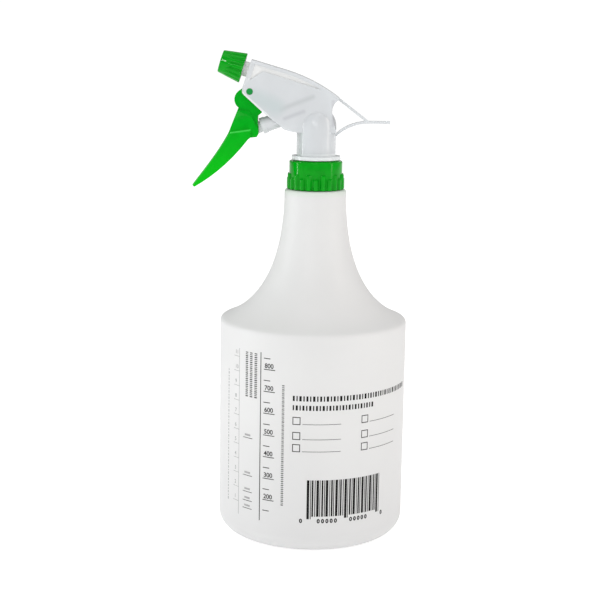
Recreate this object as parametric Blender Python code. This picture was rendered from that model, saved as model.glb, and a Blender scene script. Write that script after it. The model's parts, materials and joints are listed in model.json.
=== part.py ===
"""Hand mister: a frosted one-litre bottle with a trigger pump head, as separate pieces.

Metres, +Z up. The origin is on the bottle's axis in the plane it stands on, and the nozzle
points to -X. Three frames carry the head's slanted pieces: the trigger's pivot, the piston's
axis and the nozzle's axis.
"""

import math

import bmesh
import bpy
from mathutils import Matrix, Vector

# Clearances between pieces
SEAT_GAP = 0.0003
SEAL_GAP = 0.0001
PIN_GAP = 0.0001

# Bottle body
BODY_RADIUS = 0.0495
BODY_WALL = 0.0012
HEEL_RADIUS = 0.0097
FOOT_RING_WIDTH = 0.0098
PANEL_RISE = 0.0012
PANEL_SLOPE_WIDTH = 0.004
BODY_HEIGHT = 0.1130
SHOULDER_LIP = 0.0014
SHOULDER_LIP_HEIGHT = 0.0027
SHOULDER_SLOPE = math.radians(19.8)
SHOULDER_PULL = 0.0258
NECK_PULL = 0.0295
NECK_RADIUS = 0.0162
NECK_HEIGHT = 0.0668
NECK_ROUND = 0.0013

# Bottle's threaded finish
FINISH_RADIUS = 0.01075
FINISH_BORE = 0.0090
FINISH_HEIGHT = 0.0105
THREAD_HEIGHT = 0.0011
THREAD_PITCH = 0.003175
THREAD_TURNS = 1.5
THREAD_ROOT_WIDTH = 0.0017
THREAD_CREST_WIDTH = 0.0010
THREAD_TOP_MARGIN = 0.0019
THREAD_CREST_GAP = 0.00035
THREAD_EMBED = 0.0003

# Closure nut and what it holds down
NUT_RADIUS = 0.0137
NUT_RIB_HEIGHT = 0.0014
NUT_RIB_WIDTH = 0.0011
NUT_RIB_COUNT = 24
NUT_TALL_RIB = 0.0077
NUT_SHORT_RIB = 0.0056
NUT_TOP_WALL = 0.0016
NUT_EDGE = 0.0006
GASKET_THICKNESS = 0.0010
PUMP_FLANGE_THICKNESS = 0.0014

# Head housing, with heights above the nut's top
COLUMN_RADIUS = 0.0103
COLUMN_WALL = 0.0013
COLUMN_HEIGHT = 0.0172
COLLAR_RADIUS = 0.0128
COLLAR_THICKNESS = 0.0018
HOUSING_HALF_WIDTH = 0.0073
PLATE_WALL = 0.0015
RECESS_DEPTH = 0.0007
RECESS_ABOVE_AXIS = 0.0019
RECESS_BELOW_AXIS = 0.0044
RECESS_CORNER = 0.0052
RECESS_TIP = 0.0004
RECESS_TIP_RUN = 3.3
SPINE_WALL = 0.0017
SPINE_START = Vector((-0.0340, 0.0512))
SPINE_RUN = 0.018
SPINE_FRONT_SLOPE = math.radians(16.0)
SPINE_REAR_SLOPE = math.radians(37.2)
SPINE_RADIUS = 0.084
TAIL_HALF_WIDTH = 0.0015
TAIL_TIP_X = 0.0382
TAIL_TIP_TOP = 0.0205
TAIL_THICKNESS = 0.0013
TAIL_ARC_RADIUS = 0.024
TAIL_ARC_X = 0.0272
REAR_EDGE_TOP = 0.0312
REAR_WALL = 0.0015
FRONT_WALL = 0.0019
FRONT_WALL_DROP = 0.0058
EDGE_FOOT = 0.0143
CORNER_ROUND = 0.0022
CORNER_CENTRE = Vector((-0.0017, 0.0001))

# Trigger, with heights above the nut's top
PIVOT = Vector((-0.0348, 0.0350))
TRIGGER_TRAVEL = math.radians(26.0)
PIN_RADIUS = 0.00165
PIN_INSET = 0.0001
BOSS_RADIUS = 0.0038
ARM_GAP = 0.0005
ARM_HALF_WIDTH = 0.0068
BLADE_HALF_WIDTH = 0.0092
TRIGGER_WALL = 0.0014
TRIGGER_RIB_HALF_WIDTH = 0.0013
LOBE_CENTRE = Vector((-0.0374, 0.0309))
LOBE_RADIUS = 0.0053
HOLLOW_FRONT = -0.0440
HOLLOW_TOP_FRONT = -0.0392
HOLLOW_TOP_BACK = -0.0335
HOLLOW_TOP = 0.0243
HOLLOW_BACK_TOP = 0.0215
GRIP_HOLLOW_BACK = -0.0355
CHANNEL_MOUTH = -0.0500
DRAWING_UNIT = 0.001
BLADE_ROUND = 0.0007
BLADE_ROUND_WIDTH = 0.0016

# Piston and its cylinder, measured along the piston's axis from the middle of its nose
PISTON_TILT = math.radians(22.0)
PISTON_ARM = 0.0191
NOSE_RADIUS = 0.0030
COLLAR_START = 0.0034
PISTON_COLLAR_RADIUS = 0.0043
PISTON_COLLAR_LENGTH = 0.0025
ROD_RADIUS = 0.0040
LAND_RADIUS = 0.0043
GROOVE_RADIUS = 0.0036
WIPER_START = 0.0143
WIPER_LENGTH = 0.0012
CUP_START = 0.0166
CUP_LENGTH = 0.0020
PISTON_LENGTH = 0.0194
PISTON_BORE = 0.0029
PISTON_BORE_START = 0.0104
CYLINDER_BORE = 0.0046
CYLINDER_WALL = 0.0009
CYLINDER_MOUTH = 0.0136
CYLINDER_END_WALL = 0.0040
CYLINDER_PORT = 0.0010

# Pump body's riser and base
RISER_RADIUS = 0.0042
RISER_TOP_RADIUS = 0.0012
RISER_BORE = 0.0015
RISER_HEIGHT = 0.0367
RISER_TAPER = 0.0031
BOSS_WALL = 0.0013
BOSS_HEIGHT = 0.0058
PUMP_FLANGE_RADIUS = 0.0116
SPIGOT_RADIUS = 0.0062
SPIGOT_LENGTH = 0.0089

# Inlet valve and dip tube
BALL_RADIUS = 0.0020
BALL_TRAVEL = 0.0012
SEAT_THROAT = 0.0013
SEAT_DEPTH = 0.0012
THROAT_LENGTH = 0.0015
RETAINER_FLANGE = 0.0015
RETAINER_FLANGE_WIDTH = 0.0013
RETAINER_WALL = 0.0015
TUBE_RADIUS = 0.0030
TUBE_WALL = 0.0009
TUBE_FOOT_GAP = 0.0028
TUBE_GAP = 0.0002

# Nozzle, measured along its axis from the back of the cap, forward positive
NOZZLE_TILT = math.radians(16.8)
NOZZLE_BACK = Vector((-0.0384, 0.04665))
NOZZLE_TO_FRONT_WALL = 0.0026
CAP_LENGTH = 0.0123
CAP_BACK_RADIUS = 0.00785
CAP_FRONT_RADIUS = 0.0058
CAP_BORE = 0.00505
CAP_FRONT_WALL = 0.0016
CAP_FLUTE_DEPTH = 0.0006
CAP_FLUTE_COUNT = 16
CAP_EDGE = 0.0005
CAP_STEP = 0.0089
ORIFICE_RADIUS = 0.0005
DIMPLE_RADIUS = 0.0022
DIMPLE_DEPTH = 0.0008
POST_RADIUS = 0.0039
POST_THREAD_HEIGHT = 0.00085
POST_THREAD_PITCH = 0.0020
POST_THREAD_TURNS = 2.5
POST_THREAD_ROOT_WIDTH = 0.0010
POST_THREAD_CREST_WIDTH = 0.0006
POST_THREAD_START = 0.0012
POST_STEP = 0.0068
NOSE_PIPE_RADIUS = 0.0033
NOSE_PIPE_GAP = 0.0003
NOZZLE_SEAL_LENGTH = 0.0012
DELIVERY_RADIUS = 0.0023
DELIVERY_BORE = 0.0010
DELIVERY_END = 0.0386
DELIVERY_BORE_END = 0.0394
VALVE_BORE = 0.0022
VALVE_HOUSING = 0.0032
VALVE_HOUSING_LENGTH = 0.0024
VALVE_BALL_RADIUS = 0.00175
VALVE_SEAT_START = 0.0042
SWIRL_START = 0.0049
SWIRL_LENGTH = 0.0048
SWIRL_SLOT_DEPTH = 0.0007

# Springs
RETURN_WIRE = 0.00032
RETURN_COIL_RADIUS = 0.00222
RETURN_COILS = 7
VALVE_WIRE = 0.00016
VALVE_COIL_RADIUS = 0.00145
VALVE_COILS = 5

ROUND_STEPS = 36
SMALL_STEPS = 24

# Heights and sizes worked out from the ones above
FLARE_START = BODY_HEIGHT + SHOULDER_LIP_HEIGHT
NECK_TOP = FLARE_START + NECK_HEIGHT + NECK_ROUND
FINISH_TOP = NECK_TOP + FINISH_HEIGHT
GASKET_BOTTOM = FINISH_TOP + SEAT_GAP
PUMP_BASE = GASKET_BOTTOM + GASKET_THICKNESS + SEAT_GAP
NUT_CEILING = PUMP_BASE + PUMP_FLANGE_THICKNESS + SEAT_GAP
NUT_TOP = NUT_CEILING + NUT_TOP_WALL
NUT_BOTTOM = NECK_TOP + SEAT_GAP
HOUSING_BOTTOM = NUT_TOP + SEAT_GAP
COLUMN_BORE = COLUMN_RADIUS - COLUMN_WALL
BOSS_RADIUS_ON_PUMP = COLUMN_BORE - SEAT_GAP
PLATE_INSIDE = HOUSING_HALF_WIDTH - PLATE_WALL
CORE_HALF_WIDTH = PLATE_INSIDE - ARM_GAP
CYLINDER_RADIUS = CYLINDER_BORE + CYLINDER_WALL
PISTON_TRAVEL = 2 * PISTON_ARM * math.tan(TRIGGER_TRAVEL / 2)
CYLINDER_END = PISTON_LENGTH + PISTON_TRAVEL + SEAT_GAP
RETAINER_RADIUS = TUBE_RADIUS + TUBE_GAP + RETAINER_WALL
SPIGOT_BOTTOM = PUMP_BASE - SPIGOT_LENGTH
RETAINER_TOP = PUMP_BASE - SEAT_GAP
FRONT_FACE = -NOZZLE_TO_FRONT_WALL
FRONT_INSIDE = FRONT_FACE - FRONT_WALL


def clear_scene():
    for obj in list(bpy.data.objects):
        bpy.data.objects.remove(obj, do_unlink=True)


def make_material(name, color, roughness):
    material = bpy.data.materials.new(name)
    material.use_nodes = True
    shader = material.node_tree.nodes["Principled BSDF"]
    shader.inputs["Base Color"].default_value = (*color, 1.0)
    shader.inputs["Roughness"].default_value = roughness
    shader.inputs["Metallic"].default_value = 0.0
    material.diffuse_color = (*color, 1.0)
    return material


def make_frame(name, point, turn):
    """An empty at a side-view point whose local Z is +Z turned about Y by an angle."""
    empty = bpy.data.objects.new(name, None)
    bpy.context.scene.collection.objects.link(empty)
    empty.location = (point[0], 0.0, point[1] + NUT_TOP)
    empty.rotation_euler = (0.0, turn, 0.0)
    return empty


def add_object(name, bm, material=None, parent=None):
    bmesh.ops.recalc_face_normals(bm, faces=bm.faces)
    mesh = bpy.data.meshes.new(name)
    bm.to_mesh(mesh)
    bm.free()
    mesh.shade_smooth()
    mesh.set_sharp_from_angle(angle=math.radians(32))
    obj = bpy.data.objects.new(name, mesh)
    bpy.context.scene.collection.objects.link(obj)
    if material:
        mesh.materials.append(material)
    obj.parent = parent
    return obj


def apply_tool(target, tool, operation):
    tool.hide_render = True
    tool.display_type = "WIRE"
    modifier = target.modifiers.new(tool.name, "BOOLEAN")
    modifier.operation = operation
    modifier.object = tool
    # The exact solver leaves open edges in these two and in nothing else
    modifier.solver = "MANIFOLD" if target.name in ("trigger", "pump_body") else "EXACT"
    if tool.parent is None:
        tool.parent = target


def fuse(target, *tools):
    for tool in tools:
        apply_tool(target, tool, "UNION")


def cut(target, *tools):
    for tool in tools:
        apply_tool(target, tool, "DIFFERENCE")


def bridge(bm, first, second):
    count = len(first)
    for index in range(count):
        other = (index + 1) % count
        corners = [first[index], first[other], second[other], second[index]]
        corners = list(dict.fromkeys(corners))
        if len(corners) > 2:
            bm.faces.new(corners)


def turned(name, profile, steps=SMALL_STEPS, ring=False, flute=None, **placing):
    """A solid of revolution about local Z, from (radius, height) points. A ring's profile is closed;
    a solid's starts and ends on the axis. flute(index, angle) is taken off a point's radius."""
    bm = bmesh.new()
    loops = []
    for index, (radius, height) in enumerate(profile):
        if radius == 0:
            loops.append([bm.verts.new((0.0, 0.0, height))] * steps)
            continue
        loop = []
        for step in range(steps):
            angle = 2 * math.pi * step / steps
            reach = radius - (flute(index, angle) if flute else 0.0)
            loop.append(bm.verts.new((reach * math.cos(angle), reach * math.sin(angle), height)))
        loops.append(loop)
    for lower, upper in zip(loops, loops[1:]):
        bridge(bm, lower, upper)
    if ring:
        bridge(bm, loops[-1], loops[0])
    return add_object(name, bm, **placing)


def tube(inner, outer, bottom, top):
    """The profile of a plain ring."""
    return [(inner, bottom), (outer, bottom), (outer, top), (inner, top)]


def rod(radius, bottom, top):
    """The profile of a plain round bar."""
    return [(0.0, bottom), (radius, bottom), (radius, top), (0.0, top)]


def layered(name, sections, **placing):
    """A solid across Y from (y, outline) sections, whose side-view outlines have as many points each."""
    bm = bmesh.new()
    loops = [[bm.verts.new((x, y, z + NUT_TOP)) for x, z in outline] for y, outline in sections]
    for first, second in zip(loops, loops[1:]):
        bridge(bm, first, second)
    bm.faces.new(loops[0])
    bm.faces.new(loops[-1])
    return add_object(name, bm, **placing)


def plate(name, outline, low, high, **placing):
    """A side-view outline with heights above the nut's top, made solid between two values of y."""
    return layered(name, [(low, outline), (high, outline)], **placing)


def ridge(name, root, crest, widths, pitch, turns, start, steps, **placing):
    """A right-handed thread ridge about local Z that fades into its wall at both ends."""
    hidden = root - math.copysign(THREAD_EMBED, crest - root)
    count = round(turns * steps)
    fade = steps // 8
    bm = bmesh.new()
    sections = []
    for step in range(count + 1):
        angle = 2 * math.pi * step / steps
        middle = start + pitch * step / steps
        share = max(0.1, min(1.0, step / fade, (count - step) / fade))
        tip = hidden + (crest - hidden) * share
        points = (
            (hidden, middle - widths[0] / 2),
            (tip, middle - widths[1] / 2),
            (tip, middle + widths[1] / 2),
            (hidden, middle + widths[0] / 2),
        )
        sections.append([bm.verts.new((r * math.cos(angle), r * math.sin(angle), z)) for r, z in points])
    for before, after in zip(sections, sections[1:]):
        bridge(bm, before, after)
    bm.faces.new(sections[0])
    bm.faces.new(sections[-1])
    return add_object(name, bm, **placing)


def coil(name, radius, wire, coils, bottom, top, steps=10, sides=5, **placing):
    """A compression spring about local Z with closed end coils and round wire."""
    bm = bmesh.new()
    count = coils * steps
    low = bottom + wire
    rise = top - bottom - 6.5 * wire
    loops = []
    for step in range(count + 1):
        angle = 2 * math.pi * step / steps
        share = min(max((step - steps) / (count - 2 * steps), 0.0), 1.0)
        ends = min(step / steps, 1.0) + max((step - count) / steps + 1.0, 0.0)
        height = low + 2.25 * wire * ends + rise * share
        outward = Vector((math.cos(angle), math.sin(angle), 0.0))
        loop = []
        for side in range(sides):
            around = 2 * math.pi * side / sides
            offset = outward * math.cos(around) + Vector((0.0, 0.0, math.sin(around)))
            loop.append(bm.verts.new(outward * radius + Vector((0.0, 0.0, height)) + offset * wire))
        loops.append(loop)
    for before, after in zip(loops, loops[1:]):
        bridge(bm, before, after)
    bm.faces.new(loops[0])
    bm.faces.new(loops[-1])
    return add_object(name, bm, **placing)


def ball(name, radius, height, **placing):
    bm = bmesh.new()
    bmesh.ops.create_icosphere(bm, subdivisions=2, radius=radius, matrix=Matrix.Translation((0, 0, height)))
    return add_object(name, bm, **placing)


def bezier(start, pull, push, end, count):
    points = []
    for step in range(count + 1):
        t = step / count
        shares = ((1 - t) ** 3, 3 * t * (1 - t) ** 2, 3 * t * t * (1 - t), t**3)
        corners = (Vector(start), Vector(pull), Vector(push), Vector(end))
        points.append(sum((corner * share for corner, share in zip(corners, shares)), Vector((0.0, 0.0))))
    return points


def arc(centre, radius, start, end, count):
    """Points on a circle from one angle to another, in degrees, measured from the first axis."""
    points = []
    for step in range(count + 1):
        angle = math.radians(start + (end - start) * step / count)
        points.append(Vector((centre[0] + radius * math.cos(angle), centre[1] + radius * math.sin(angle))))
    return points


def offset(points, distance):
    """An open line moved sideways, to the right of its direction."""
    moved = []
    for index, point in enumerate(points):
        before = points[max(index - 1, 0)]
        after = points[min(index + 1, len(points) - 1)]
        along = (after - before).normalized()
        moved.append(point + Vector((along[1], -along[0])) * distance)
    return moved


def ball_rest(ball_radius, throat, slope=math.radians(45)):
    """How far a ball's middle sits above the throat of its conical seat, a seal gap off the cone."""
    return (ball_radius + SEAL_GAP) / math.sin(slope) - throat / math.tan(slope)


def nozzle_point(along, above):
    """A side-view point given along the nozzle's axis, forward, and square to it, upward."""
    forward = Vector((-math.cos(NOZZLE_TILT), math.sin(NOZZLE_TILT)))
    upward = Vector((math.sin(NOZZLE_TILT), math.cos(NOZZLE_TILT)))
    return NOZZLE_BACK + forward * along + upward * above


def nozzle_place(point):
    """A side-view point's distances along the nozzle's axis, forward, and square to it, upward."""
    reach = Vector(point) - NOZZLE_BACK
    along = reach[1] * math.sin(NOZZLE_TILT) - reach[0] * math.cos(NOZZLE_TILT)
    return along, reach[0] * math.sin(NOZZLE_TILT) + reach[1] * math.cos(NOZZLE_TILT)


def nose_place():
    """The middle of the piston's nose at rest: half the travel before the foot of the pivot."""
    along = Vector((math.cos(PISTON_TILT), math.sin(PISTON_TILT)))
    across = Vector((math.sin(PISTON_TILT), -math.cos(PISTON_TILT)))
    return PIVOT + across * PISTON_ARM - along * PISTON_TRAVEL / 2


def pin_rod(name, radius, reach):
    """A round bar across Y through the trigger's pivot."""
    pin = turned(name, rod(radius, -reach, reach))
    pin.rotation_euler = (math.radians(90), 0.0, 0.0)
    pin.location = (PIVOT[0], 0.0, PIVOT[1] + NUT_TOP)
    return pin


# Bottle and closure


def bottle_outside():
    """Radius and height down the outside, from the top of the neck's shoulder to the standing ring."""
    neck_start = FLARE_START + NECK_HEIGHT
    rounding = arc((NECK_RADIUS - NECK_ROUND, neck_start), NECK_ROUND, 90, 0, 3)
    edge = Vector((BODY_RADIUS - SHOULDER_LIP, FLARE_START))
    slope = Vector((-math.cos(SHOULDER_SLOPE), math.sin(SHOULDER_SLOPE)))
    neck = Vector((NECK_RADIUS, neck_start))
    flare = bezier(neck, neck - Vector((0.0, NECK_PULL)), edge + slope * SHOULDER_PULL, edge, 9)
    lip = [Vector((BODY_RADIUS - SHOULDER_LIP / 3, FLARE_START - SHOULDER_LIP_HEIGHT / 3))]
    heel = arc((BODY_RADIUS - HEEL_RADIUS, HEEL_RADIUS), HEEL_RADIUS, 0, -90, 5)
    return rounding + flare[1:] + lip + [Vector((BODY_RADIUS, BODY_HEIGHT))] + heel


def make_bottle(material):
    outside = bottle_outside()
    inside = offset(outside, BODY_WALL)[4:-1]
    foot = BODY_RADIUS - HEEL_RADIUS
    ring = foot - FOOT_RING_WIDTH
    panel = ring - PANEL_SLOPE_WIDTH
    profile = [(0.0, PANEL_RISE), (panel, PANEL_RISE), (ring, 0.0)]
    profile += [tuple(point) for point in reversed(outside)]
    profile += [(FINISH_RADIUS, NECK_TOP), (FINISH_RADIUS, FINISH_TOP), (FINISH_BORE, FINISH_TOP)]
    profile += [(FINISH_BORE, NECK_TOP - BODY_WALL), (NECK_RADIUS - 2 * BODY_WALL, NECK_TOP - 2 * BODY_WALL)]
    profile += [tuple(point) for point in inside]
    profile += [(foot, BODY_WALL), (ring, BODY_WALL), (panel, PANEL_RISE + BODY_WALL)]
    profile += [(0.0, PANEL_RISE + BODY_WALL)]
    body = turned("bottle", profile, steps=ROUND_STEPS, material=material)
    thread = ridge(
        "bottle_thread",
        FINISH_RADIUS,
        FINISH_RADIUS + THREAD_HEIGHT,
        (THREAD_ROOT_WIDTH, THREAD_CREST_WIDTH),
        THREAD_PITCH,
        THREAD_TURNS,
        thread_start(),
        ROUND_STEPS,
    )
    fuse(body, thread)


def thread_start():
    return FINISH_TOP - THREAD_TOP_MARGIN - THREAD_TURNS * THREAD_PITCH


def make_nut(material):
    bore = FINISH_RADIUS + THREAD_HEIGHT + THREAD_CREST_GAP
    hole = BOSS_RADIUS_ON_PUMP + SEAT_GAP
    profile = [
        (bore, NUT_BOTTOM),
        (NUT_RADIUS, NUT_BOTTOM),
        (NUT_RADIUS, NUT_TOP - NUT_EDGE),
        (NUT_RADIUS - NUT_EDGE, NUT_TOP),
        (hole, NUT_TOP),
        (hole, NUT_CEILING),
        (bore, NUT_CEILING),
    ]
    nut = turned("closure_nut", profile, steps=ROUND_STEPS, ring=True, material=material)
    depth = NUT_RIB_HEIGHT + THREAD_EMBED
    middle = NUT_RADIUS - THREAD_EMBED + depth / 2
    bm = bmesh.new()
    for index in range(NUT_RIB_COUNT):
        height = NUT_TALL_RIB if index % 2 else NUT_SHORT_RIB
        turn = Matrix.Rotation(2 * math.pi * index / NUT_RIB_COUNT, 4, "Z")
        shift = Matrix.Translation((middle, 0.0, NUT_BOTTOM + height / 2))
        size = Matrix.Diagonal((depth, NUT_RIB_WIDTH, height, 1.0))
        bmesh.ops.create_cube(bm, size=1.0, matrix=turn @ shift @ size)
    ribs = add_object("nut_ribs", bm)
    thread = ridge(
        "nut_thread",
        bore,
        bore - THREAD_HEIGHT,
        (THREAD_ROOT_WIDTH, THREAD_CREST_WIDTH),
        THREAD_PITCH,
        THREAD_TURNS,
        thread_start() - THREAD_PITCH / 2,
        ROUND_STEPS,
    )
    fuse(nut, ribs, thread)


def make_gasket(material):
    inner = FINISH_BORE + SEAT_GAP
    outer = FINISH_RADIUS + THREAD_CREST_GAP - SEAT_GAP
    profile = tube(inner, outer, GASKET_BOTTOM, GASKET_BOTTOM + GASKET_THICKNESS)
    turned("neck_gasket", profile, steps=ROUND_STEPS, ring=True, material=material)


# Head housing, in side view with heights above the nut's top


def spine_line(inset):
    """The spine's top line from the front corner to the start of the straight strut, moved in."""
    slope = SPINE_FRONT_SLOPE
    down = Vector((math.sin(slope), math.cos(slope)))
    bend = SPINE_START + Vector((SPINE_RUN, -SPINE_RUN * math.tan(slope)))
    curve = arc(
        bend - down * SPINE_RADIUS,
        SPINE_RADIUS - inset,
        90 - math.degrees(SPINE_FRONT_SLOPE),
        90 - math.degrees(SPINE_REAR_SLOPE),
        7,
    )
    return [SPINE_START - down * inset] + curve


def strut_point(height, inset):
    """Where the straight strut behind the spine, moved in, reaches a height."""
    end = spine_line(inset)[-1]
    return Vector((end[0] + (end[1] - height) / math.tan(SPINE_REAR_SLOPE), height))


def rear_edge(inset):
    """The concave back edge of the side plates, from under the strut down to the column."""
    shift = Vector((-inset, 0.0))
    root = strut_point(REAR_EDGE_TOP, TAIL_THICKNESS) + shift
    foot = Vector((COLUMN_RADIUS, EDGE_FOOT)) + shift
    return bezier(root, root + Vector((-0.0051, -0.0037)), foot + Vector((-0.0019, 0.0075)), foot, 7)


def tail_arc(inset):
    """The lower strut's underside, from the tail down to the column, moved up."""
    centre = (TAIL_ARC_X, TAIL_TIP_TOP - TAIL_THICKNESS - TAIL_ARC_RADIUS)
    reach = TAIL_ARC_X - COLUMN_RADIUS + COLUMN_WALL / 2
    end = 180 - math.degrees(math.acos(reach / (TAIL_ARC_RADIUS + inset)))
    return arc(centre, TAIL_ARC_RADIUS + inset, 90, end, 7)


def housing_outline():
    corner = arc(PIVOT + CORNER_CENTRE, CORNER_ROUND, 231, 163, 4)
    outline = spine_line(0.0) + rear_edge(0.0)
    outline += [Vector((0.0, EDGE_FOOT)), Vector((-0.0099, EDGE_FOOT)), Vector((-0.0137, 0.0149))]
    outline += [Vector((-0.0169, 0.0158)), Vector((-0.0188, 0.0176)), Vector((-0.0284, 0.0249))]
    outline += corner
    outline += [nozzle_point(FRONT_FACE, -0.009)]
    return outline


def make_tail():
    top = TAIL_TIP_TOP
    bottom = top - TAIL_THICKNESS
    strut = spine_line(0.0)[-2:] + [strut_point(top, 0.0), Vector((TAIL_TIP_X, top))]
    strut += [Vector((TAIL_TIP_X, bottom)), Vector((TAIL_ARC_X, bottom)), strut_point(top, TAIL_THICKNESS)]
    strut += list(reversed(spine_line(TAIL_THICKNESS)[-2:]))
    half = TAIL_HALF_WIDTH
    upper = plate("tail_strut", strut, -half, half)
    lower = plate("tail_brace", tail_arc(0.0) + list(reversed(tail_arc(TAIL_THICKNESS))), -half, half)
    return upper, lower


def recess_outline():
    """The shallow wedge under the spine, which runs out where the spine comes down to it."""
    underside = spine_line(SPINE_WALL)[1:]
    kept = [point for point in underside if nozzle_place(point)[1] > RECESS_ABOVE_AXIS + RECESS_TIP]
    along, above = nozzle_place(kept[-1])
    tip = along - (above - RECESS_ABOVE_AXIS) * RECESS_TIP_RUN
    outline = [nozzle_point(-RECESS_CORNER, -RECESS_BELOW_AXIS)]
    outline += [nozzle_point(-2 * RECESS_CORNER, RECESS_ABOVE_AXIS), nozzle_point(tip, RECESS_ABOVE_AXIS)]
    outline += list(reversed(kept))
    return outline + [nozzle_point(-RECESS_CORNER, spine_clearance())]


def make_housing(material, nozzle):
    wide = HOUSING_HALF_WIDTH
    housing = plate("head_housing", housing_outline(), -wide, wide, material=material)
    fuse(housing, *make_tail())

    middle = HOUSING_BOTTOM + COLUMN_HEIGHT
    rim = HOUSING_BOTTOM + COLLAR_THICKNESS
    profile = [(0.0, HOUSING_BOTTOM), (COLLAR_RADIUS, HOUSING_BOTTOM), (COLLAR_RADIUS, rim)]
    profile.append((COLUMN_RADIUS, rim))
    profile += [tuple(point) for point in arc((0.0, middle), COLUMN_RADIUS, 0, 80, 8)]
    profile += [(0.0, middle + COLUMN_RADIUS)]
    fuse(housing, turned("housing_column", profile, steps=ROUND_STEPS))

    recess = recess_outline()
    for name, side in (("near_recess", -1), ("far_recess", 1)):
        floor, out = side * (wide - RECESS_DEPTH), side * 2 * wide
        cut(housing, plate(name, recess, min(floor, out), max(floor, out)))

    below = HOUSING_BOTTOM - COLUMN_WALL
    profile = [(0.0, below), (COLUMN_BORE, below)]
    profile += [tuple(point) for point in arc((0.0, middle), COLUMN_BORE, 0, 80, 8)]
    profile += [(0.0, middle + COLUMN_BORE)]
    cut(housing, turned("column_bore", profile, steps=ROUND_STEPS))

    channel = [nozzle_point(FRONT_INSIDE, spine_clearance()), nozzle_point(FRONT_INSIDE, -FRONT_WALL_DROP)]
    channel += [nozzle_point(CAP_LENGTH, -FRONT_WALL_DROP), Vector((CHANNEL_MOUTH, EDGE_FOOT))]
    channel += list(reversed(rear_edge(REAR_WALL)[2:]))
    channel += list(reversed(spine_line(SPINE_WALL)[1:7]))
    cut(housing, plate("channel", channel, -PLATE_INSIDE, PLATE_INSIDE))

    hole = rod(POST_RADIUS + SEAT_GAP, 2 * FRONT_INSIDE, -FRONT_FACE)
    cut(housing, turned("post_hole", hole, parent=nozzle))
    cut(housing, pin_rod("pin_hole", PIN_RADIUS + PIN_GAP, 2 * wide))


def spine_clearance():
    """How far above the nozzle's axis the spine's underside is at the back of the front wall."""
    above = nozzle_place(SPINE_START)[1]
    return above * math.cos(NOZZLE_TILT - SPINE_FRONT_SLOPE) - SPINE_WALL


# Trigger, in side view with heights above the nut's top


def points(*pairs):
    """Side-view points given in drawing units, which suit a hand-drawn outline."""
    return [Vector((x, z)) * DRAWING_UNIT for x, z in pairs]


def blade_front(inset):
    front = bezier(*points((-45.6, 13.7), (-50.5, 4.7), (-57.0, -4.0), (-64.1, -13.2)), 7)
    return offset(front + points((-63.8, -14.3)), -inset)


def blade_back():
    grip = bezier(*points((-62.9, -14.3), (-54.2, -9.2), (-44.3, -1.4), (-35.3, 10.6)), 7)
    return grip + points((-34.1, 11.5), (-34.2, 15.1))


def arm_outline(front_top, back_top):
    side = points((-45.35, 14.3), (-46.9, 11.4), (-33.8, 11.4), (-31.0, 11.7), (-30.1, 13.1))
    side += points((-30.1, 15.4), (-31.9, 18.7))
    return points(front_top) + side + points(back_top)


def pad_point(height):
    """Where the face that pushes the piston's nose is at a height; it passes a nose's reach off the pivot."""
    lean = PISTON_TILT - TRIGGER_TRAVEL / 2
    reach = NOSE_RADIUS + SEAT_GAP
    across = (-reach - (height - PIVOT[1]) * math.sin(lean)) / math.cos(lean)
    return Vector((PIVOT[0] + across, height))


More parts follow.
